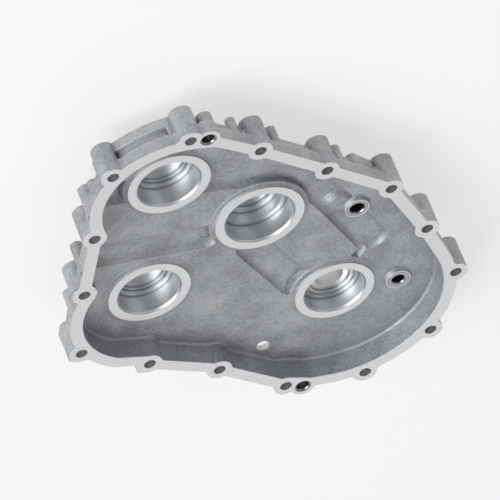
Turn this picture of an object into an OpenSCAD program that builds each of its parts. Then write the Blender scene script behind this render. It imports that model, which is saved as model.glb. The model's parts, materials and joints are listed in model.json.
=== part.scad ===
// Cast aluminium gearbox housing, open side up.
// A flat joint flange with fifteen bolt lugs runs round a shallow cavity. Four bearing
// bosses stand on the cavity floor, linked by shallow troughs that carry oil to them.
// Lengths are millimetres. The housing is drawn with the middle bearing axis at x = 0,
// y = 0 and the joint face at z = 0, then moved so that it stands on z = 0.

/* [Flange and walls] */
// Thickness of the joint flange
flange_t = 10; // [8:0.5:14]
// Width of the machined joint face
rim_w = 9.8; // [8:0.2:12]
// Thickness of the side wall under the flange
wall_t = 5; // [4:0.5:7]
// Draft angle of the cast walls
draft = 1.5; // [0.5:0.5:3]
// Radius of a bolt lug
lug_r = 9.3; // [8.5:0.1:10]
// Depth of the bolt lugs below the joint face
lug_depth = 27; // [24:1:34]
// Radius of the flange bolt holes
bolt_r = 4.5; // [3.3:0.1:5.5]
// Radius of the blends between lugs and rim
blend_r = 4; // [4:0.5:6]

/* [Cavity] */
// Depth of the cavity floor below the joint face
floor_depth = 18; // [17:0.5:24]
// Thickness of the cavity floor
floor_t = 4.5; // [3.5:0.5:6]
// Fillet between wall and cavity floor
floor_fillet = 3; // [1:0.5:3]
// Radius of the rounded rear edge of the body
rear_fillet = 4; // [2:0.5:4]

/* [Oil troughs] */
// Depth of a trough below the cavity floor
trough_depth = 4; // [2:0.5:5]
// Width of the flat bottom of a trough
trough_flat = 13; // [8:0.5:16]
// Radius of the hollow sides of a trough
trough_side_r = 8; // [6:0.5:12]
// Radius of the short link channel
link_r = 4; // [3:0.5:5]

/* [Bearing bosses] */
// Depth of the machined boss faces below the joint face
boss_depth = 15.5; // [14:0.5:17]
// Depth of the rear ends of the bosses, on which the housing lies
rest_depth = 46; // [44:1:60]
// Wall round a bearing mouth at the boss face
boss_wall = 6.9; // [5:0.1:9]
// Spread of the boss foot between its face and the floor
boss_spread = 4.1; // [2:0.1:5]
// Radius of the seat of the upper and left bearings
seat_small_r = 23.5; // [20:0.5:26]
// Radius of the seat of the middle bearing
seat_large_r = 26; // [24:0.5:30]
// Radius of the seat of the lower bearing
seat_low_r = 23; // [20:0.5:26]
// Lead-in chamfer at the mouth of a bearing seat
lead_in = 1.3; // [0.5:0.1:2]

/* [Bushes and sleeves] */
// Outer radius of a guide bush
bush_r = 8.5; // [7:0.1:10]
// Bore radius of the upper guide bush
bush_upper_bore_r = 5.3; // [4:0.1:6.5]
// Bore radius of the lower guide bush
bush_lower_bore_r = 4.6; // [4:0.1:6.5]
// Length of a guide bush
bush_len = 22; // [14:1:26]
// Outer radius of a locating dowel sleeve
sleeve_r = 6.2; // [5.5:0.1:7]
// Length of a locating dowel sleeve
sleeve_len = 9; // [6:0.5:9]
// How far a sleeve sits below the joint face
sleeve_sink = 0.4; // [0:0.1:2]

/* [Hidden] */
$fn = 64;

cast_color = "gainsboro";
steel_color = "silver";

// Bearing axes
seat_upper = [-51.7, 81.4];
seat_middle = [0, 0];
seat_left = [-95.2, -33.7];
seat_lower = [30.7, -120];

// Guide bushes, locating dowels and the drain hole in the floor
bush_upper = [68.4, -34.9];
bush_lower = [76.9, -137.3];
dowel_upper = [-13, 135.6];
dowel_lower = [-17.5, -195.2];
drain = [-33.4, -153.4];
drain_r = 5;

// Flange bolts, clockwise from the upper left
bolts = [
    [-87.2, 136.7], [-25.3, 142.1], [19, 98.2], [58.4, 44.3], [96.7, -7],
    [110.2, -70.2], [118, -134.5], [85.1, -190.2], [28.8, -208.8], [-29, -186.9],
    [-69.5, -135.9], [-115, -95.6], [-158, -51], [-139.5, 15.1], [-116.9, 74.5],
];
// Two lugs run out into a blunt corner, given from the bolt
spurs = [
    [bolts[11], [[-11, -4.7], [-3, -8.8], [3, 0], [-10, 5]]],
    [bolts[12], [[-10.7, -3.7], [-3, -8.3], [3, 0], [-5.5, 6.5]]],
];

// Round stretches of the inner wall
arc_seat_r = 56;
arc_top = [-50.6, 75.8];
arc_top_r = 61.5;
arc_low_r = 79.2;

floor_z = -floor_depth;
rear_z = -floor_depth - floor_t;
trough_z = floor_z - trough_depth;
face_z = -boss_depth;
lug_z = -lug_depth;
rest_z = -rest_depth;
over = 1;
sharp_step = 24;
long_step = 8;

// The foot of the housing is centred under its bounding box
far_left = bolts[12][0] + spurs[1][1][0][0];
far_right = bolts[6][0] + lug_r;
far_low = bolts[8][1] - lug_r;
far_high = bolts[1][1] + lug_r;
origin = [-(far_left + far_right) / 2, -(far_low + far_high) / 2, rest_depth];

function unit(v) = v / norm(v);
function left_of(v) = [-v[1], v[0]];
function heading(v) = atan2(v[1], v[0]);
function polar(r, a) = [r * cos(a), r * sin(a)];
function turn(a, b) = let (t = (b - a) % 360) t > 180 ? t - 360 : (t < -180 ? t + 360 : t);

// The wall runs clockwise as a list of stretches. A corner has a point and a radius, an arc
// a centre, a radius and two angles. A lug has its bolts, the wall points before and after
// it, and a radius; an undefined wall point means that it runs straight into an arc.
lug_left_r = norm(bolts[13] - seat_left) - arc_seat_r;
lug_upper_r = norm(bolts[14] - seat_upper) - arc_seat_r;
bulge_r = lug_r + 0.35;
wall = [
    ["arc", seat_upper, arc_seat_r, 360 + heading(bolts[14] - seat_upper), 119.5],
    ["arc", arc_top, arc_top_r, 118.5, 62],
    ["corner", [-10.1, 124.4], 8],
    ["lug", [bolts[2]], [16.5, 92.9], [16.5, 92.9], bulge_r],
    ["lug", [bolts[3]], [55.2, 41.9], [55.2, 41.9], bulge_r],
    ["lug", [bolts[4]], [91.5, -7.2], [91.5, -7.2], bulge_r],
    ["lug", [bolts[5]], [104.6, -72], [104.6, -72], bulge_r],
    ["arc", seat_lower, arc_low_r, 14, -111],
    ["lug", [dowel_lower, bolts[9]], [-24.1, -183.8], [-24.1, -183.8], bulge_r],
    ["lug", [bolts[10]], [-70.5, -126.4], [-70.5, -126.4], bulge_r],
    ["lug", [bolts[11]], [-108, -95.3], [-110, -88], bulge_r],
    ["corner", [-134.4, -73.9], 8],
    ["arc", seat_left, arc_seat_r, 221, heading(bolts[13] - seat_left)],
    ["lug", [bolts[13]], undef, [-129.6, 28], lug_left_r],
    ["lug", [bolts[14]], [-115, 64.5], undef, lug_upper_r],
];

function first_point(s) = s[0] == "arc" ? s[1] + polar(s[2], s[3])
    : s[0] == "lug" ? (is_undef(s[2]) ? s[3] : s[2]) : s[1];
function last_point(s) = s[0] == "arc" ? s[1] + polar(s[2], s[4])
    : s[0] == "lug" ? (is_undef(s[3]) ? s[2] : s[3]) : s[1];

// Every stretch becomes arcs of the form centre, signed radius, first angle, last angle.
// The radius is negative where the wall bulges into the cavity.
function corner_arc(p, c, q, r) =
    let (a = heading(left_of(c - p)), t = turn(a, heading(left_of(q - c))), s = t > 0 ? -1 : 1)
    let (m = polar(1, a) + polar(1, a + t))
    [[c - s * r * m / (1 + cos(t)), s * r, a, a + t]];

// Centre of the blend between a wall line and a lug; side is -1 before the lug, 1 after it
function blend_centre(bolt, on_line, along, side, r) =
    let (n = left_of(along), h = (bolt - on_line) * n)
    bolt - (h + blend_r) * n + side * sqrt(pow(r + blend_r, 2) - pow(h + blend_r, 2)) * along;

function lug_arcs(before, s, after) =
    let (first = s[1][0], last = s[1][len(s[1]) - 1], r = s[4])
    let (u = is_undef(s[2]) ? undef : unit(s[2] - last_point(before)))
    let (v = is_undef(s[3]) ? undef : unit(first_point(after) - s[3]))
    let (c_in = is_undef(u) ? undef : blend_centre(first, s[2], u, -1, r))
    let (c_out = is_undef(v) ? undef : blend_centre(last, s[3], v, 1, r))
    let (a_in = is_undef(u) ? before[4] : heading(first - c_in))
    let (a_out = is_undef(v) ? after[3] : heading(last - c_out))
    let (mid = first == last ? undef : heading(left_of(last - first)))
    concat(
        is_undef(u) ? [] : [[c_in, blend_r, heading(left_of(u)),
            heading(left_of(u)) + turn(heading(left_of(u)), a_in)]],
        first == last ? [[first, -r, a_in, a_in + turn(a_in, a_out)]]
            : [[first, -r, a_in, a_in + turn(a_in, mid)], [last, -r, mid, mid + turn(mid, a_out)]],
        is_undef(v) ? [] : [[c_out, blend_r, a_out, a_out + turn(a_out, heading(left_of(v)))]]
    );

arcs = [
    for (i = [0:len(wall) - 1])
        let (s = wall[i], before = wall[(i + len(wall) - 1) % len(wall)], after = wall[(i + 1) % len(wall)])
        each s[0] == "arc" ? [[s[1], s[2], s[3], s[4]]]
            : s[0] == "lug" ? lug_arcs(before, s, after)
            : corner_arc(last_point(before), s[1], first_point(after), s[2])
];

// Points of the wall line moved outwards by d, the same number for every d
function ring(d) = [
    for (a = arcs)
        let (sweep = a[3] - a[2], n = max(1, ceil(abs(sweep) / (abs(a[1]) > 20 ? long_step : sharp_step))))
        for (j = [0:n - 1]) a[0] + polar(a[1] + d, a[2] + sweep * (j + 0.5) / n)
];

// Every point of the wall is seen from here, so the ends of a loft are closed by a fan
hub = [-20, -40];

// A solid through rings that are listed from the top down as pairs of offset and height
module loft(levels) {
    rings = [for (l = levels) [for (p = ring(l[0])) [p[0], p[1], l[1]]]];
    n = len(rings[0]);
    last = len(levels) - 1;
    sides = [
        for (k = [0:last - 1], i = [0:n - 1])
            let (a = k * n + i, b = k * n + (i + 1) % n)
            each [[b, a, a + n], [b, a + n, b + n]]
    ];
    top_hub = len(levels) * n;
    caps = [
        for (i = [0:n - 1])
            let (j = (i + 1) % n)
            each [[top_hub, i, j], [top_hub + 1, last * n + j, last * n + i]]
    ];
    hubs = [[hub[0], hub[1], levels[0][1]], [hub[0], hub[1], levels[last][1]]];
    polyhedron(points = concat([for (r = rings) each r], hubs), faces = concat(sides, caps));
}

// Levels of a drafted wall from z0 to z1 that ends in a quarter round of radius r
function drafted(d, z0, z1, r) = concat(
    [[d, z0]],
    [for (a = [0:30:90]) [d + (z1 + r - z0) * tan(draft) - r * (1 - cos(a)), z1 + r - r * sin(a)]]
);

module cavity() {
    loft(drafted(over * tan(draft), over, floor_z, floor_fillet));
}

module body_outer() {
    loft(drafted(wall_t, -flange_t + over, rear_z, rear_fillet));
}

// Outline of the joint flange, blended into lugs that are drawn slightly small here
module flange_outline() {
    inset = 0.3;
    offset(r = -blend_r, $fn = 24) offset(r = blend_r, $fn = 24) {
        offset(r = rim_w - wall_t, $fn = 24) polygon(ring(wall_t));
        for (p = concat(bolts, [dowel_upper, dowel_lower])) translate(p) circle(r = lug_r - inset, $fn = 32);
    }
}

module flange() {
    translate([0, 0, -flange_t]) linear_extrude(flange_t) flange_outline();
}

// Tapered column from the joint face down
module column(p, r, depth, top = 0) {
    translate([p[0], p[1], -depth]) cylinder(r1 = r - (depth - top) * tan(draft / 2), r2 = r, h = depth - top);
}

module lug_columns() {
    for (p = bolts) column(p, lug_r, lug_depth);
    column(dowel_lower, lug_r, lug_depth);
    column(dowel_upper, lug_r, flange_t + over);
    for (spur = spurs) translate([spur[0][0], spur[0][1], lug_z]) linear_extrude(lug_depth) polygon(spur[1]);
}

dowel_rib = [[-10.4, 134.8], 6.2];

// Round-ended ribs on the outside of the wall, level with the flange edge
ribs = [
    [[30.7, 82.2], 4.4], [[68.6, 30.4], 4.5], [[6.2, 111.4], 4.1], [[-131.4, 40], 5.2],
    [[-148.9, -11.2], 5.9], [[-109.5, 100.4], 6.2], [[-102.9, 104.1], 5],
];
module outer_ribs() {
    for (rib = ribs) column(rib[0], rib[1], lug_depth, over);
    column(dowel_rib[0], dowel_rib[1], floor_depth + floor_t - 0.6, over);
}

// Blends that fill the corners between the wall and its lugs and ribs
module wall_blends() {
    inset = 0.5;
    end_z = rear_z + rear_fillet + 0.7;
    translate([0, 0, end_z]) linear_extrude(-flange_t + over - end_z)
        offset(r = -blend_r, $fn = 24) offset(r = blend_r, $fn = 24) {
            polygon(ring(wall_t - inset));
            for (p = bolts) translate(p) circle(r = lug_r - inset, $fn = 32);
            for (rib = ribs) translate(rib[0]) circle(r = rib[1] - inset, $fn = 24);
        }
}

// Long rib with round ends, its middle slightly thinner than the ends
module outer_pad() {
    pad = [[78.1, 16.5], [86.8, 1.2]];
    pad_r = 4.4;
    pad_depth = 24;
    waist = 0.3;
    for (p = pad) column(p, pad_r, pad_depth, over);
    run(pad[0], pad[1])
        translate([waist - pad_r, over / 2 - pad_depth]) square([2 * (pad_r - waist), pad_depth - 2 * over]);
}

// Part of a ring between two angles, from a profile drawn with the radius as x
module sector(c, a0, a1) {
    translate([c[0], c[1], 0]) rotate([0, 0, a0]) rotate_extrude(angle = a1 - a0) children();
}

// The shell behind the top of the flange reaches down nearly as far as the lugs
shell_c = [-50.2, 70.2];
shell_r = 75.9;
shell_t = 6;
shell_z = lug_z + 0.4;
shell_a = [68, 119];
recess_a = [80.7, 113.9];
module top_shell() {
    sector(shell_c, shell_a[0], shell_a[1]) translate([shell_r - shell_t, shell_z]) square([shell_t, -over - shell_z]);
}

// Recess under the flange in the top shell, with a sloping lower ledge
module top_recess() {
    depth = 3.3;
    roof_z = -flange_t - 0.4;
    ledge_z = -18.8;
    ledge_rise = 2;
    sector(shell_c, recess_a[0], recess_a[1]) polygon([
        [shell_r - depth, roof_z], [shell_r + over, roof_z], [shell_r + over, ledge_z - ledge_rise * over / depth],
        [shell_r - depth, ledge_z + ledge_rise],
    ]);
}

// Half-widths and heights of the hollow side of a trough, from the top down
rim_a = -26;
side_step = 16;
trough_levels = [
    for (a = [rim_a:-side_step:-90]) [trough_flat / 2 + trough_side_r * cos(a), trough_z + trough_side_r * (1 + sin(a))]
];

// Left and right edge of a path with round ends, moved out by w. A path is a list of
// stations, each a point and a heading.
cap_steps = 4;
function cap_edge(p, a, w, side, from) = [
    for (j = [0:cap_steps - 1])
        let (t = 90 * (j + 0.5) / cap_steps, b = from < 0 ? 180 - t : 90 - t)
        p + polar(w, a + side * b)
];
function edge(path, w, side) =
    let (last = len(path) - 1)
    concat(
        cap_edge(path[0][0], path[0][1], w, side, -1),
        [for (s = path) s[0] + polar(w, s[1] + side * 90)],
        cap_edge(path[last][0], path[last][1], w, side, 1)
    );

// A solid along a path, from pairs of half-width and height listed from the top down
module path_solid(path, levels) {
    m = len(path) + 2 * cap_steps;
    n = 2 * m;
    last = len(levels) - 1;
    rings = [
        for (l = levels)
            let (left = edge(path, l[0], 1), right = edge(path, l[0], -1))
            each concat([for (q = left) [q[0], q[1], l[1]]], [for (i = [m - 1:-1:0]) [right[i][0], right[i][1], l[1]]])
    ];
    sides = [
        for (k = [0:last - 1], i = [0:n - 1])
            let (a = k * n + i, b = k * n + (i + 1) % n)
            each [[b, a, a + n], [b, a + n, b + n]]
    ];
    caps = [
        for (i = [0:m - 2])
            let (c = n - 1 - i, d = last * n)
            each [[i, i + 1, c - 1], [i, c - 1, c], [d + i + 1, d + i, d + c - 1], [d + c - 1, d + i, d + c]]
    ];
    polyhedron(points = rings, faces = concat(sides, caps));
}

// A section carried from p to q
module run(p, q) {
    translate([p[0], p[1], 0]) rotate([90, 0, heading(q - p) + 90]) linear_extrude(norm(q - p)) children();
}

function straight(p, q) = [[p, heading(q - p)], [q, heading(q - p)]];

// Trough routes on the floor
route_wall = straight([-136, 34.7], [-43, 0.85]);
route_upper = straight([-106, 99.6], [-78.7, 88.2]);
route_low = straight([-12.7, -33.3], [6.2, -96.5]);
bend_c = [-56.6, -48.3];
bend_r = 115;
bend_a0 = 65.4;
bend_a1 = 14.3;
bend_step = 7.3;
bend_end = [69.4, -77.6];
route_bend = concat(
    [[[-25.3, 63.9], bend_a0 - 90]],
    [for (a = [bend_a0:-bend_step:bend_a1 - 0.1]) [bend_c + polar(bend_r, a), a - 90]],
    [[bend_end, bend_a1 - 90]]
);
link_start = [49, -98];
link_end = [65, -82];
link_sink = 2.5;
disc_sink = 0.4;
discs = [[-39.5, -0.4], route_upper[1][0], route_low[1][0], bend_end];

module troughs() {
    for (route = [route_wall, route_upper, route_low, route_bend]) path_solid(route, trough_levels);
    for (p = discs)
        translate([p[0], p[1], trough_z - disc_sink]) cylinder(r = trough_flat / 2 - 0.2, h = trough_depth);
    run(link_start, link_end) translate([0, floor_z - link_sink + link_r]) circle(r = link_r);
}

// Ridges on the rear that keep the wall thickness behind the troughs
module trough_ridges() {
    ridge_w = trough_flat / 2 + 4;
    levels = [[ridge_w + 1, floor_z - over], [ridge_w - 1, floor_z - floor_t - trough_depth]];
    path_solid(straight([-112, 26], route_wall[1][0]), levels);
    path_solid(straight([-92, 93.8], route_upper[1][0]), levels);
    path_solid(route_low, levels);
    path_solid(route_bend, levels);
}

// Foot of a bearing boss, flared down to the floor and the troughs. Its bends lie a little
// off the planes of the floor and the trough bottoms, which its flanks cut.
flare_gap = 0.3;
module boss(p, face_r, spread, foot) {
    edge_w = 0.6;
    edge_h = 1.2;
    neck_z = trough_z - 5;
    neck_r = face_r + 1;
    foot_r = face_r + spread + foot;
    translate([p[0], p[1], 0]) rotate_extrude() polygon([
        [0, face_z], [face_r, face_z], [face_r + edge_w, face_z - edge_h],
        [face_r + spread - flare_gap, floor_z + flare_gap], [foot_r, trough_z - flare_gap],
        [foot_r, trough_z - edge_h - flare_gap], [neck_r, neck_z], [neck_r - (neck_z - rest_z) * tan(draft), rest_z],
        [0, rest_z],
    ]);
}

// Bore of a bearing seat: lead-in, seat, shoulder and relief steps
module seat_bore(p, seat_r, seat_end, steps) {
    function step_points(i) = i >= len(steps) ? []
        : concat([[steps[i][0], i == 0 ? -seat_end : -steps[i - 1][1]], [steps[i][0], -steps[i][1]]], step_points(i + 1));
    translate([p[0], p[1], 0]) rotate_extrude() polygon(concat(
        [[0, face_z + over], [seat_r + lead_in, face_z + over], [seat_r + lead_in, face_z],
            [seat_r, face_z - lead_in], [seat_r, -seat_end]],
        step_points(0),
        [[0, -steps[len(steps) - 1][1]]]
    ));
}

module bush_boss(p) {
    wall = 0.9;
    edge_w = 0.4;
    edge_h = 0.6;
    flare_r = bush_r + 2.1;
    foot_r = bush_r + 4.5;
    end_r = bush_r + 3.5;
    end_z = face_z - bush_len - 3;
    translate([p[0], p[1], 0]) rotate_extrude() polygon([
        [0, face_z], [bush_r + wall, face_z], [bush_r + wall + edge_w, face_z - edge_h],
        [flare_r, floor_z + flare_gap], [foot_r, trough_z - flare_gap], [foot_r, trough_z - over],
        [end_r, end_z], [0, end_z],
    ]);
}

// Mound in the trough beside the upper guide bush
mound = [56.8, -23.3];
module trough_mound() {
    top_r = 6.2;
    foot_r = 11.4;
    h = trough_depth + over;
    translate([mound[0], mound[1], trough_z - over])
        cylinder(r1 = foot_r + over * (foot_r - top_r) / trough_depth, r2 = top_r, h = h);
    run(mound, bush_upper) translate([0, trough_z]) polygon([
        [-foot_r, 0], [foot_r, 0], [top_r, trough_depth], [-top_r, trough_depth],
    ]);
}

module hole(p, r, z0, z1) {
    translate([p[0], p[1], z0]) cylinder(r = r, h = z1 - z0);
}

// Stiffening ribs between the boss backs
module rear_ribs() {
    rib_w = 5;
    rib_z = -32;
    for (pair = [[seat_upper, seat_middle], [seat_middle, seat_left], [seat_middle, seat_lower],
        [seat_left, [-140, -42]], [seat_lower, [100, -128]], [seat_upper, [-96, 122]]])
        run(pair[0], pair[1]) translate([-rib_w / 2, rib_z]) square([rib_w, rear_z - rib_z + over]);
}

// Bearing seats: centre, radius, depth of the end, relief steps as radius and depth, then the
// wall, spread and foot of the boss
seats = [
    [seat_upper, seat_small_r, 31.8, [[19.9, 34.5], [18.4, 36.8]], boss_wall, boss_spread - 0.8, 2.5],
    [seat_left, seat_small_r, 31.8, [[19.9, 34.5], [18.4, 36.8]], boss_wall, boss_spread, 1],
    [seat_middle, seat_large_r, 31, [[21.6, 39.2], [17, 41.8]], boss_wall, boss_spread, 0.3],
    [seat_lower, seat_low_r, 27.5, [[19.3, 28.7], [15.8, 30], [10.8, rest_depth + over]], boss_wall - 0.6,
        boss_spread + 0.6, 1],
];

module housing_blank() {
    difference() {
        union() {
            body_outer();
            flange();
            lug_columns();
            outer_ribs();
            outer_pad();
            wall_blends();
            top_shell();
            trough_ridges();
            rear_ribs();
        }
        top_recess();
        cavity();
        intersection() {
            troughs();
            translate([0, 0, trough_z - over]) linear_extrude(trough_depth + 2 * over) polygon(ring(-1));
        }
    }
}

module housing() {
    color(cast_color) translate(origin) difference() {
        union() {
            housing_blank();
            for (s = seats) boss(s[0], s[1] + lead_in + s[4], s[5], s[6]);
            bush_boss(bush_upper);
            bush_boss(bush_lower);
            trough_mound();
        }
        for (s = seats) seat_bore(s[0], s[1], s[2], s[3]);
        hole(bush_upper, bush_r, face_z - bush_len, over);
        hole(bush_lower, bush_r, face_z - bush_len, over);
        hole(drain, drain_r, rear_z - over, over);
        for (p = bolts) hole(p, bolt_r, lug_z - over, over);
        for (p = [dowel_upper, dowel_lower]) hole(p, sleeve_r, -sleeve_len - sleeve_sink, over);
        hole(dowel_upper, bolt_r, -flange_t - 2 * over, over);
        hole(dowel_lower, bolt_r, lug_z - over, over);
    }
}

// Steel tube with its mouth chamfered
module tube(p, top_z, outer_r, bore_r, len) {
    c = 0.8;
    translate(origin) translate([p[0], p[1], top_z - len]) rotate_extrude() polygon([
        [bore_r, 0], [outer_r, 0], [outer_r, len - c / 2], [outer_r - c / 2, len],
        [bore_r + c, len], [bore_r, len - c],
    ]);
}

module upper_dowel_sleeve() {
    color(steel_color) tube(dowel_upper, -sleeve_sink, sleeve_r, bolt_r, sleeve_len);
}

module lower_dowel_sleeve() {
    color(steel_color) tube(dowel_lower, -sleeve_sink, sleeve_r, bolt_r, sleeve_len);
}

module upper_guide_bush() {
    color(steel_color) tube(bush_upper, face_z, bush_r, bush_upper_bore_r, bush_len);
}

module lower_guide_bush() {
    color(steel_color) tube(bush_lower, face_z, bush_r, bush_lower_bore_r, bush_len);
}

housing();
upper_dowel_sleeve();
lower_dowel_sleeve();
upper_guide_bush();
lower_guide_bush();
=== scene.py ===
import json
import math

import bpy
from mathutils import Matrix, Vector


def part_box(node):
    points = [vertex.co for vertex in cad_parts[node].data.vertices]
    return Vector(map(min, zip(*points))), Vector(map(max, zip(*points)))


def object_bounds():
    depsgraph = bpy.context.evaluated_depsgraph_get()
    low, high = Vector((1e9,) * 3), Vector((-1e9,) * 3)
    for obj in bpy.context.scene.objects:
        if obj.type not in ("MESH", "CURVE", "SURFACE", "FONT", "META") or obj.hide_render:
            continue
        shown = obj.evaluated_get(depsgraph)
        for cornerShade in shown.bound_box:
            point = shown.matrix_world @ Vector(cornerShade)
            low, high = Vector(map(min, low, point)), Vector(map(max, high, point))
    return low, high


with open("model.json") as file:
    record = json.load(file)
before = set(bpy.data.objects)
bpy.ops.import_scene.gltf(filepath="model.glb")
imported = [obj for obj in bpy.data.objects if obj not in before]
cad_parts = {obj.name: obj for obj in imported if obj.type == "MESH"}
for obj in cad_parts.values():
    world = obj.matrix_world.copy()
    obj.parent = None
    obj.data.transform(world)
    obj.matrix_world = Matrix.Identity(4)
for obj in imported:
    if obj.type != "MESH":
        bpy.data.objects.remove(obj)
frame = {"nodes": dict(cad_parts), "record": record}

cadLow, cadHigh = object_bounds()
nodes = frame["nodes"]
mounts = {mount["name"]: mount for mount in frame["record"]["mounts"]}
mm = 0.001
raySamples = {"edge": 6, "open": 8}     # rays that a rounded edge and a dark corner are found with


# Turns an sRGB hex colour into linear red, green, blue and alpha, by the sRGB standard's own curve.
def linearColour(hexCode):
    channels = [int(hexCode[i:i + 2], 16) / 255 for i in (1, 3, 5)]
    return [c / 12.92 if c <= 0.04045 else ((c + 0.055) / 1.055) ** 2.4 for c in channels] + [1.0]


# Adds one node with its settings, its socket values and its links, and gives one of its outputs.
# Sockets are called by name, or by number where a name stands on the node more than once or the
# order is plain.
def addNode(tree, kind, inputs=None, give=0, **settings):
    node = tree.nodes.new(kind)
    for name, value in settings.items():
        setattr(node, name, value)
    for socket, value in (inputs or {}).items():
        if isinstance(value, bpy.types.NodeSocket):
            tree.links.new(value, node.inputs[socket])
        else:
            node.inputs[socket].default_value = value
    return node.outputs[give] if node.outputs else node


# Camera

# The drawing looks into the open side from the end with the upper sleeve, 36 degrees above the
# joint face, and is turned so that this face looks towards the foot of the page. Its two page
# directions and its scale are fitted to the centres of the drawn bolt holes.
cameraSetup = {
    "right": (0.9254, -0.2210, 0.3078),
    "up": (0.3789, 0.5385, -0.7526),
    "markedMount": "middle_bearing_seat",
    "markedOffset": 21.6,                   # mm in y from its axis, a point in the plane of the joint face
    "markedPixel": (260.02, 218.18),        # where that point is in the image
    "pixelSize": 0.7273,                    # mm on the object per pixel
    "imageSize": 500,                       # pixels each way
    "lens": 1500,                           # mm: the drawing has no perspective to speak of
    "sensor": 36,                           # mm
    "seenDepths": (0.5, 100),               # m from the camera
}


def makeCamera(setup):
    right = Vector(setup["right"]).normalized()
    up = Vector(setup["up"])
    up = (up - right * up.dot(right)).normalized()
    back = right.cross(up)
    axisX, axisY = (c / mm for c in mounts[setup["markedMount"]]["pos_m"][:2])
    marked = Vector((axisX, axisY + setup["markedOffset"], mounts["joint_face"]["pos_m"][2] / mm))
    offset = [setup["imageSize"] / 2 - p for p in setup["markedPixel"]]
    centre = marked + setup["pixelSize"] * (right * offset[0] - up * offset[1])
    distance = setup["pixelSize"] * setup["imageSize"] * setup["lens"] / setup["sensor"]
    data = bpy.data.cameras.new("camera")
    data.lens = setup["lens"]
    data.sensor_width = setup["sensor"]
    data.clip_start, data.clip_end = setup["seenDepths"]
    camera = bpy.data.objects.new("camera", data)
    turned = Matrix((right, up, back)).transposed().to_4x4()
    turned.translation = (centre + back * distance) * mm
    camera.matrix_world = turned
    bpy.context.collection.objects.link(camera)
    bpy.context.scene.camera = camera


makeCamera(cameraSetup)
print("camera placed")

# Shading of the curved walls

shadingSetup = {"mergeDistance": 0.002, "smoothUnder": 24}      # mm, degrees


# Merges the loose triangles and shades smoothly across every edge flatter than the given angle.
def makeShadingGroup(setup):
    group = bpy.data.node_groups.new("smoothCurvedWalls", "GeometryNodeTree")
    for way in ("INPUT", "OUTPUT"):
        group.interface.new_socket("Geometry", in_out=way, socket_type="NodeSocketGeometry")
    loose = addNode(group, "NodeGroupInput")
    merged = addNode(group, "GeometryNodeMergeByDistance", {
        "Geometry": loose, "Distance": setup["mergeDistance"] * mm})
    angle = addNode(group, "GeometryNodeInputMeshEdgeAngle", give="Unsigned Angle")
    flat = addNode(group, "FunctionNodeCompare", {0: angle, 1: math.radians(setup["smoothUnder"])},
                   data_type="FLOAT", operation="LESS_THAN")
    smooth = addNode(group, "GeometryNodeSetShadeSmooth", {"Geometry": merged, "Shade Smooth": True},
                     domain="FACE")
    creaseShade = addNode(group, "GeometryNodeSetShadeSmooth", {"Geometry": smooth, "Shade Smooth": flat},
                      domain="EDGE")
    addNode(group, "NodeGroupOutput", {0: creaseShade})
    return group


shadingGroup = makeShadingGroup(shadingSetup)
for node in nodes.values():
    node.modifiers.new("smoothCurvedWalls", "NODES").node_group = shadingGroup
print("curved walls shaded smoothly")

# What the materials share


def startMaterial(name):
    material = bpy.data.materials.new(name)
    material.use_nodes = True
    material.node_tree.nodes.clear()
    return material, material.node_tree


# Gives the place on the object in mm, and the direction that the surface faces there.
def objectPlace(tree):
    inMetres = addNode(tree, "ShaderNodeTexCoord", give="Object")
    place = addNode(tree, "ShaderNodeVectorMath", {0: inMetres, "Scale": 1 / mm}, operation="SCALE")
    return place, inMetres.node.outputs["Normal"]


# Ends a bare metal's tree. The height of the relief is in mm.
def finishMetal(tree, colour, roughness, height, rounded):
    bump = addNode(tree, "ShaderNodeBump", {"Height": height, "Normal": rounded, "Distance": mm})
    shader = addNode(tree, "ShaderNodeBsdfPrincipled", {
        "Base Color": colour, "Roughness": roughness, "Metallic": 1.0, "Normal": bump})
    addNode(tree, "ShaderNodeOutputMaterial", {"Surface": shader})


def dress(node, material):
    for slot in node.material_slots:
        slot.material = material
    if not node.material_slots:
        node.data.materials.append(material)


# Housing: aluminium casting with milled and bored faces

castSkin = {
    "colour": "#C9CBCD",            # grey oxide skin of a shot-blasted aluminium casting
    "colourDark": "#A4A6A9",
    "cornerColour": "#7F8184",      # painted shade in corners and creases, where little of the sky is open
    "edgeColour": "#ECEDEE",        # proud edges are rubbed brighter, and given a painted highlight as well
    "roughness": (0.56, 0.72),
    "blotch": 28,                   # mm across, tone changes left by the mould
    "grain": 1.8,                   # mm; the real dimples are 0.4 mm, drawn as coarse as the render can show
    "wave": 14,                     # mm, gentle unevenness of a cast wall
    "layers": {"blotch": 3, "grain": 2, "wave": 1},     # finer layers of noise on each pattern
    "layerShare": 0.55,             # strength of each finer layer
    "grainShare": 0.5,              # of the tone, the rest is blotches
    "toneRange": (0.38, 0.62),      # noise that gives the dark and the plain colour
    "grainHeight": 0.30,            # mm
    "waveHeight": 0.16,             # mm
    "cornerShare": 0.45,
    "cornerReach": 14,              # mm, how far from a corner the painted shade reaches
    "cornerRange": (0.35, 0.95),    # how open a place is, 0 to 1: fully dark, and not darkened
    "creaseShare": 0.55,
    "creaseReach": 3,               # mm, painted shade right in a crease
    "creaseRange": (0.45, 0.95),
    "edgeShare": 0.9,
    "edgeRange": (0.90, 0.99),      # cosine of the rounding's turn: fully rubbed and highlighted, and not at all
    "edgeRadius": 1.1,              # mm, cast edges are slightly round
}
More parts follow.
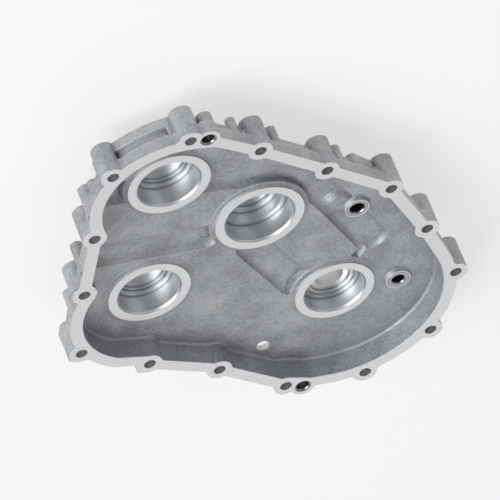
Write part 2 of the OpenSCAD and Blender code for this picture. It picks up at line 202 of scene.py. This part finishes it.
machinedFace = {
    "colour": "#E3E4E5",            # freshly cut aluminium, nearly white and shinier than the skin
    "colourDark": "#D1D3D5",        # in the valleys of the tool marks
    "roughness": (0.40, 0.46),
    "millPitch": 2.6,               # mm; the real marks are 0.2 mm apart, drawn coarser so that they show
    "turnPitch": 1.7,               # mm, rings on the boss faces and in the seats, coarser as well
    "markHeight": 0.02,             # mm
    "creaseColour": "#7C7E81",      # painted shade in the corners of the steps
    "creaseShare": 0.75,
    "creaseReach": 2.2,             # mm
    "edgeRadius": 0.3,              # mm, deburred edges
    "cutter": 55,                   # mm, radius of the face mill
    "track": 90,                    # mm between two passes of the mill
    "seatMargin": 1.5,              # mm round a bearing seat, takes in its lead-in
    "holeMargin": 0.2,              # mm
    "faceDepth": 0.06,              # mm either way of a milled plane
    "faceTilt": 0.9,                # cosine, a wall that faces up less than this isn't the milled plane
    "farAway": 1000.0,              # mm, further out than any bore
}


# Finds the two milled planes: the joint face, whose height is its mount's, and the boss faces, which
# are level with the top of the upper guide bush. Each is 1 on the plane and 0 elsewhere.
def milledPlanes(tree, z, normal, setup):
    upward = addNode(tree, "ShaderNodeSeparateXYZ", {0: normal}, give="Z")
    level = addNode(tree, "ShaderNodeMath", {0: upward, 1: setup["faceTilt"]}, operation="GREATER_THAN")
    planes = []
    for height in (mounts["joint_face"]["pos_m"][2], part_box("upper_guide_bush")[1].z):
        near = addNode(tree, "ShaderNodeMath", {0: z, 1: height / mm, 2: setup["faceDepth"]},
                       operation="COMPARE")
        planes.append(addNode(tree, "ShaderNodeMath", {0: near, 1: level}, operation="MULTIPLY"))
    return planes


# Measures how far a place is outside the nearest bore or hole of the row's mounts, and outside the
# nearest bearing seat, in mm. Inside one it is negative.
def outsideBores(tree, x, y, setup):
    flatPlace = addNode(tree, "ShaderNodeCombineXYZ", {0: x, 1: y})
    outsideHole = outsideSeat = setup["farAway"]
    for mount in mounts.values():
        if mount["kind"] != "bore":
            continue
        isSeat = mount["name"].endswith("seat")
        centre = [c / mm for c in mount["pos_m"][:2]] + [0]
        reach = mount["dims"]["r_mm"] + setup["seatMargin" if isSeat else "holeMargin"]
        distance = addNode(tree, "ShaderNodeVectorMath", {0: flatPlace, 1: centre}, give="Value",
                           operation="DISTANCE")
        outside = addNode(tree, "ShaderNodeMath", {0: distance, 1: reach}, operation="SUBTRACT")
        outsideHole = addNode(tree, "ShaderNodeMath", {0: outside, 1: outsideHole}, operation="MINIMUM")
        if isSeat:
            outsideSeat = addNode(tree, "ShaderNodeMath", {0: outside, 1: outsideSeat},
                                  operation="MINIMUM")
    return outsideHole, outsideSeat


# Draws the marks of the tool as a sine across them, from -1 to 1: arcs of the mill's radius on the
# joint face, y + sqrt(cutter^2 - x^2) in each track, rings round the seat on a boss face, and rings
# along the axis in a bore.
def toolMarks(tree, x, y, z, joint, boss, outsideSeat, setup):
    halfTrack = setup["track"] / 2
    across = addNode(tree, "ShaderNodeMath", {0: x, 1: -halfTrack, 2: halfTrack}, operation="WRAP")
    squared = addNode(tree, "ShaderNodeMath", {0: across, 1: across}, operation="MULTIPLY")
    under = addNode(tree, "ShaderNodeMath", {0: setup["cutter"] ** 2, 1: squared}, operation="SUBTRACT")
    arc = addNode(tree, "ShaderNodeMath", {0: under}, operation="SQRT")
    milled = addNode(tree, "ShaderNodeMath", {0: y, 1: arc}, operation="ADD")
    turned = addNode(tree, "ShaderNodeMix", {0: boss, 2: z, 3: outsideSeat})
    along = addNode(tree, "ShaderNodeMix", {0: joint, 2: turned, 3: milled})
    pitch = addNode(tree, "ShaderNodeMix", {0: joint, 2: setup["turnPitch"], 3: setup["millPitch"]})
    count = addNode(tree, "ShaderNodeMath", {0: along, 1: pitch}, operation="DIVIDE")
    phase = addNode(tree, "ShaderNodeMath", {0: count, 1: 2 * math.pi}, operation="MULTIPLY")
    return addNode(tree, "ShaderNodeMath", {0: phase}, operation="SINE")


# Gives the machined places, from 0 to 1, and the tool marks on them.
def machinedPlaces(tree, place, normal, setup):
    x, y, z = addNode(tree, "ShaderNodeSeparateXYZ", {0: place}).node.outputs
    joint, boss = milledPlanes(tree, z, normal, setup)
    outsideHole, outsideSeat = outsideBores(tree, x, y, setup)
    bore = addNode(tree, "ShaderNodeMath", {0: outsideHole, 1: 0.0}, operation="LESS_THAN")
    milled = addNode(tree, "ShaderNodeMath", {0: joint, 1: boss}, operation="MAXIMUM")
    machined = addNode(tree, "ShaderNodeMath", {0: milled, 1: bore}, operation="MAXIMUM")
    return machined, toolMarks(tree, x, y, z, joint, boss, outsideSeat, setup)


# Mixes the skin's tone from blotches and grain, then lays on it the rubbed edges with their painted
# highlight, and painted shade in the corners and the creases.
def skinColour(tree, patterns, edge, crease, setup):
    tone = addNode(tree, "ShaderNodeMix", {
        0: setup["grainShare"], 2: patterns["blotch"], 3: patterns["grain"]})
    plain = addNode(tree, "ShaderNodeMapRange", {
        0: tone, 1: setup["toneRange"][0], 2: setup["toneRange"][1]})
    # Painted shade in the corners: darker where little of the sky is open within the corner reach.
    openWide = addNode(tree, "ShaderNodeAmbientOcclusion", {"Distance": setup["cornerReach"] * mm},
                       give="AO", samples=raySamples["open"])
    cornerShade = addNode(tree, "ShaderNodeMapRange", {
        0: openWide, 1: setup["cornerRange"][0], 2: setup["cornerRange"][1],
        3: setup["cornerShare"], 4: 0.0})
    # Painted shade in the creases, the same dark grey as in the corners.
    creaseShade = addNode(tree, "ShaderNodeMath", {0: crease, 1: setup["creaseShare"]}, operation="MULTIPLY")
    colour = linearColour(setup["colourDark"])
    for share, name in ((plain, "colour"), (edge, "edgeColour"), (cornerShade, "cornerColour"),
                        (creaseShade, "cornerColour")):
        colour = addNode(tree, "ShaderNodeMix", {0: share, 6: colour, 7: linearColour(setup[name])},
                         give=2, data_type="RGBA")
    return colour


# Mixes the machined tone from the ridges and valleys of the marks, and paints shade on it in the creases.
def cutColour(tree, ridge, crease, setup):
    creaseShade = addNode(tree, "ShaderNodeMath", {0: crease, 1: setup["creaseShare"]}, operation="MULTIPLY")
    bright = addNode(tree, "ShaderNodeMix", {
        0: ridge, 6: linearColour(setup["colourDark"]), 7: linearColour(setup["colour"])},
        give=2, data_type="RGBA")
    return addNode(tree, "ShaderNodeMix", {0: creaseShade, 6: bright, 7: linearColour(setup["creaseColour"])},
                   give=2, data_type="RGBA")


# Cast aluminium, shot blasted: matt and grainy. Its joint and boss faces are milled and its seats
# bored, which leaves them brighter, smoother and finely lined.
def housingMaterial(skin, cut):
    material, tree = startMaterial("castAluminiumShotBlastedAndMachined")
    place, normal = objectPlace(tree)
    machined, marks = machinedPlaces(tree, place, normal, cut)
    ridge = addNode(tree, "ShaderNodeMapRange", {0: marks, 1: -1.0, 2: 1.0})
    patterns = {}
    for name, layers in skin["layers"].items():
        patterns[name] = addNode(tree, "ShaderNodeTexNoise", {
            "Vector": place, "Scale": 1 / skin[name], "Detail": layers, "Roughness": skin["layerShare"]})

    edgeRadius, creaseReach = (
        addNode(tree, "ShaderNodeMix", {0: machined, 2: skin[name] * mm, 3: cut[name] * mm})
        for name in ("edgeRadius", "creaseReach"))
    rounded = addNode(tree, "ShaderNodeBevel", {"Radius": edgeRadius}, samples=raySamples["edge"])
    # Rubbed edges with a painted highlight: lighter where the rounded normal turns away from the face's own.
    facing = addNode(tree, "ShaderNodeNewGeometry", give="Normal")
    turn = addNode(tree, "ShaderNodeVectorMath", {0: rounded, 1: facing}, give="Value",
                   operation="DOT_PRODUCT")
    edge = addNode(tree, "ShaderNodeMapRange", {
        0: turn, 1: skin["edgeRange"][0], 2: skin["edgeRange"][1], 3: skin["edgeShare"], 4: 0.0})
    # How open a place is close by, which sets the painted shade in the creases of the skin and of the cut
    # faces.
    openNear = addNode(tree, "ShaderNodeAmbientOcclusion", {"Distance": creaseReach}, give="AO",
                       samples=raySamples["open"])
    crease = addNode(tree, "ShaderNodeMapRange", {
        0: openNear, 1: skin["creaseRange"][0], 2: skin["creaseRange"][1], 3: 1.0, 4: 0.0})

    colour = addNode(tree, "ShaderNodeMix", {
        0: machined, 6: skinColour(tree, patterns, edge, crease, skin),
        7: cutColour(tree, ridge, crease, cut)}, give=2, data_type="RGBA")
    rough = []
    for setup, pattern in ((skin, patterns["grain"]), (cut, ridge)):
        low, high = setup["roughness"]
        rough.append(addNode(tree, "ShaderNodeMix", {0: pattern, 2: low, 3: high}))
    roughness = addNode(tree, "ShaderNodeMix", {0: machined, 2: rough[0], 3: rough[1]})

    grain, wave, mark = (
        addNode(tree, "ShaderNodeMath", {0: pattern, 1: tall}, operation="MULTIPLY")
        for pattern, tall in ((patterns["grain"], skin["grainHeight"]),
                              (patterns["wave"], skin["waveHeight"]), (marks, cut["markHeight"])))
    skinHeight = addNode(tree, "ShaderNodeMath", {0: grain, 1: wave}, operation="ADD")
    height = addNode(tree, "ShaderNodeMix", {0: machined, 2: skinHeight, 3: mark})
    finishMetal(tree, colour, roughness, height, rounded)
    return material


dress(nodes["housing"], housingMaterial(castSkin, machinedFace))
print("housing dressed")

# Dowel sleeves and guide bushes: steel, turned and ground

groundSteel = {
    "colour": "#A3A5A8",            # hardened steel, a little darker than the aluminium round it
    "colourDark": "#8C8E92",
    "roughness": (0.22, 0.34),
    "pitch": 1.2,                   # mm; the real lines are 0.05 mm apart, drawn coarser so that they show
    "lineHeight": 0.006,            # mm
    "cloud": 4,                     # mm across, faint tone changes
    "cloudLayers": 3,
    "edgeRadius": 0.25,             # mm
}


# Steel, turned and ground: greyer and smoother than the casting, and lined round its axis.
def steelMaterial(setup):
    material, tree = startMaterial("sleeveSteelTurnedAndGround")
    place = objectPlace(tree)[0]
    z = addNode(tree, "ShaderNodeSeparateXYZ", {0: place}, give="Z")
    phase = addNode(tree, "ShaderNodeMath", {0: z, 1: 2 * math.pi / setup["pitch"]}, operation="MULTIPLY")
    lines = addNode(tree, "ShaderNodeMath", {0: phase}, operation="SINE")
    height = addNode(tree, "ShaderNodeMath", {0: lines, 1: setup["lineHeight"]}, operation="MULTIPLY")
    cloud = addNode(tree, "ShaderNodeTexNoise", {
        "Vector": place, "Scale": 1 / setup["cloud"], "Detail": setup["cloudLayers"]})
    colour = addNode(tree, "ShaderNodeMix", {
        0: cloud, 6: linearColour(setup["colourDark"]), 7: linearColour(setup["colour"])},
        give=2, data_type="RGBA")
    low, high = setup["roughness"]
    roughness = addNode(tree, "ShaderNodeMix", {0: cloud, 2: low, 3: high})
    rounded = addNode(tree, "ShaderNodeBevel", {"Radius": setup["edgeRadius"] * mm},
                      samples=raySamples["edge"])
    finishMetal(tree, colour, roughness, height, rounded)
    return material


steel = steelMaterial(groundSteel)
for name, node in nodes.items():
    if name != "housing":
        dress(node, steel)
print("sleeves and bushes dressed")

# Floor, lamps and surroundings

studio = {
    "floorColour": "#FAFAF9",
    "floorSize": 40,                # m
    "paperRoughness": 0.9,
    "paperLift": 0.6,               # share of plain white where it is seen
    "skyColour": "#F6F7F8",         # even light from all round
    "skyStrength": 0.32,
    "lamps": {                      # direction, distance m, width m, height m, light on a facing white card
        "keyLamp": ((-0.68, 0.48, 0.58), 5.0, 3.4, 3.4, 0.90),
        "fillLamp": ((0.80, 0.35, 0.50), 5.0, 3.0, 3.0, 0.08),
        "backLamp": ((0.10, -0.78, 0.62), 5.0, 4.6, 3.0, 0.16),
    },
}


# Pale matt paper that stands for the drawing's white ground. Seen directly or in metal it is lifted
# towards white, and keeps a soft shadow.
def paperMaterial(setup):
    material, tree = startMaterial("palePaper")
    seen = 0.0
    for ray in ("Is Camera Ray", "Is Glossy Ray", "Is Transmission Ray"):
        seen = addNode(tree, "ShaderNodeMath", {0: addNode(tree, "ShaderNodeLightPath", give=ray), 1: seen},
                       operation="MAXIMUM")
    share = addNode(tree, "ShaderNodeMath", {0: seen, 1: setup["paperLift"]}, operation="MULTIPLY")
    paper = addNode(tree, "ShaderNodeBsdfPrincipled", {
        "Base Color": linearColour(setup["floorColour"]), "Roughness": setup["paperRoughness"]})
    white = addNode(tree, "ShaderNodeEmission")
    mixed = addNode(tree, "ShaderNodeMixShader", {0: share, 1: paper, 2: white})
    addNode(tree, "ShaderNodeOutputMaterial", {"Surface": mixed})
    return material


def makeFloor(setup):
    half = setup["floorSize"] / 2
    corners = [(x * half, y * half, 0) for x, y in ((-1, -1), (1, -1), (1, 1), (-1, 1))]
    mesh = bpy.data.meshes.new("floor")
    mesh.from_pydata(corners, [], [(0, 1, 2, 3)])
    floor = bpy.data.objects.new("floor", mesh)
    bpy.context.collection.objects.link(floor)
    mesh.materials.append(paperMaterial(setup))


def makeLamps(setup):
    target = (cadLow + cadHigh) / 2
    for name, (direction, distance, width, height, level) in setup["lamps"].items():
        data = bpy.data.lights.new(name, "AREA")
        data.shape = "RECTANGLE"
        data.size, data.size_y = width, height
        data.energy = level * (math.pi * distance) ** 2     # W that give a facing white card that level
        lamp = bpy.data.objects.new(name, data)
        lamp.location = target + Vector(direction).normalized() * distance
        lamp.rotation_mode = "QUATERNION"
        lamp.rotation_quaternion = (-Vector(direction)).to_track_quat("-Z", "Y")
        bpy.context.collection.objects.link(lamp)


def makeSky(setup):
    world = bpy.data.worlds.new("softStudio")
    world.use_nodes = True
    background = world.node_tree.nodes["Background"]
    background.inputs["Color"].default_value = linearColour(setup["skyColour"])
    background.inputs["Strength"].default_value = setup["skyStrength"]
    bpy.context.scene.world = world


makeFloor(studio)
makeLamps(studio)
makeSky(studio)
bpy.context.scene.view_settings.view_transform = "Standard"
print("studio ready")
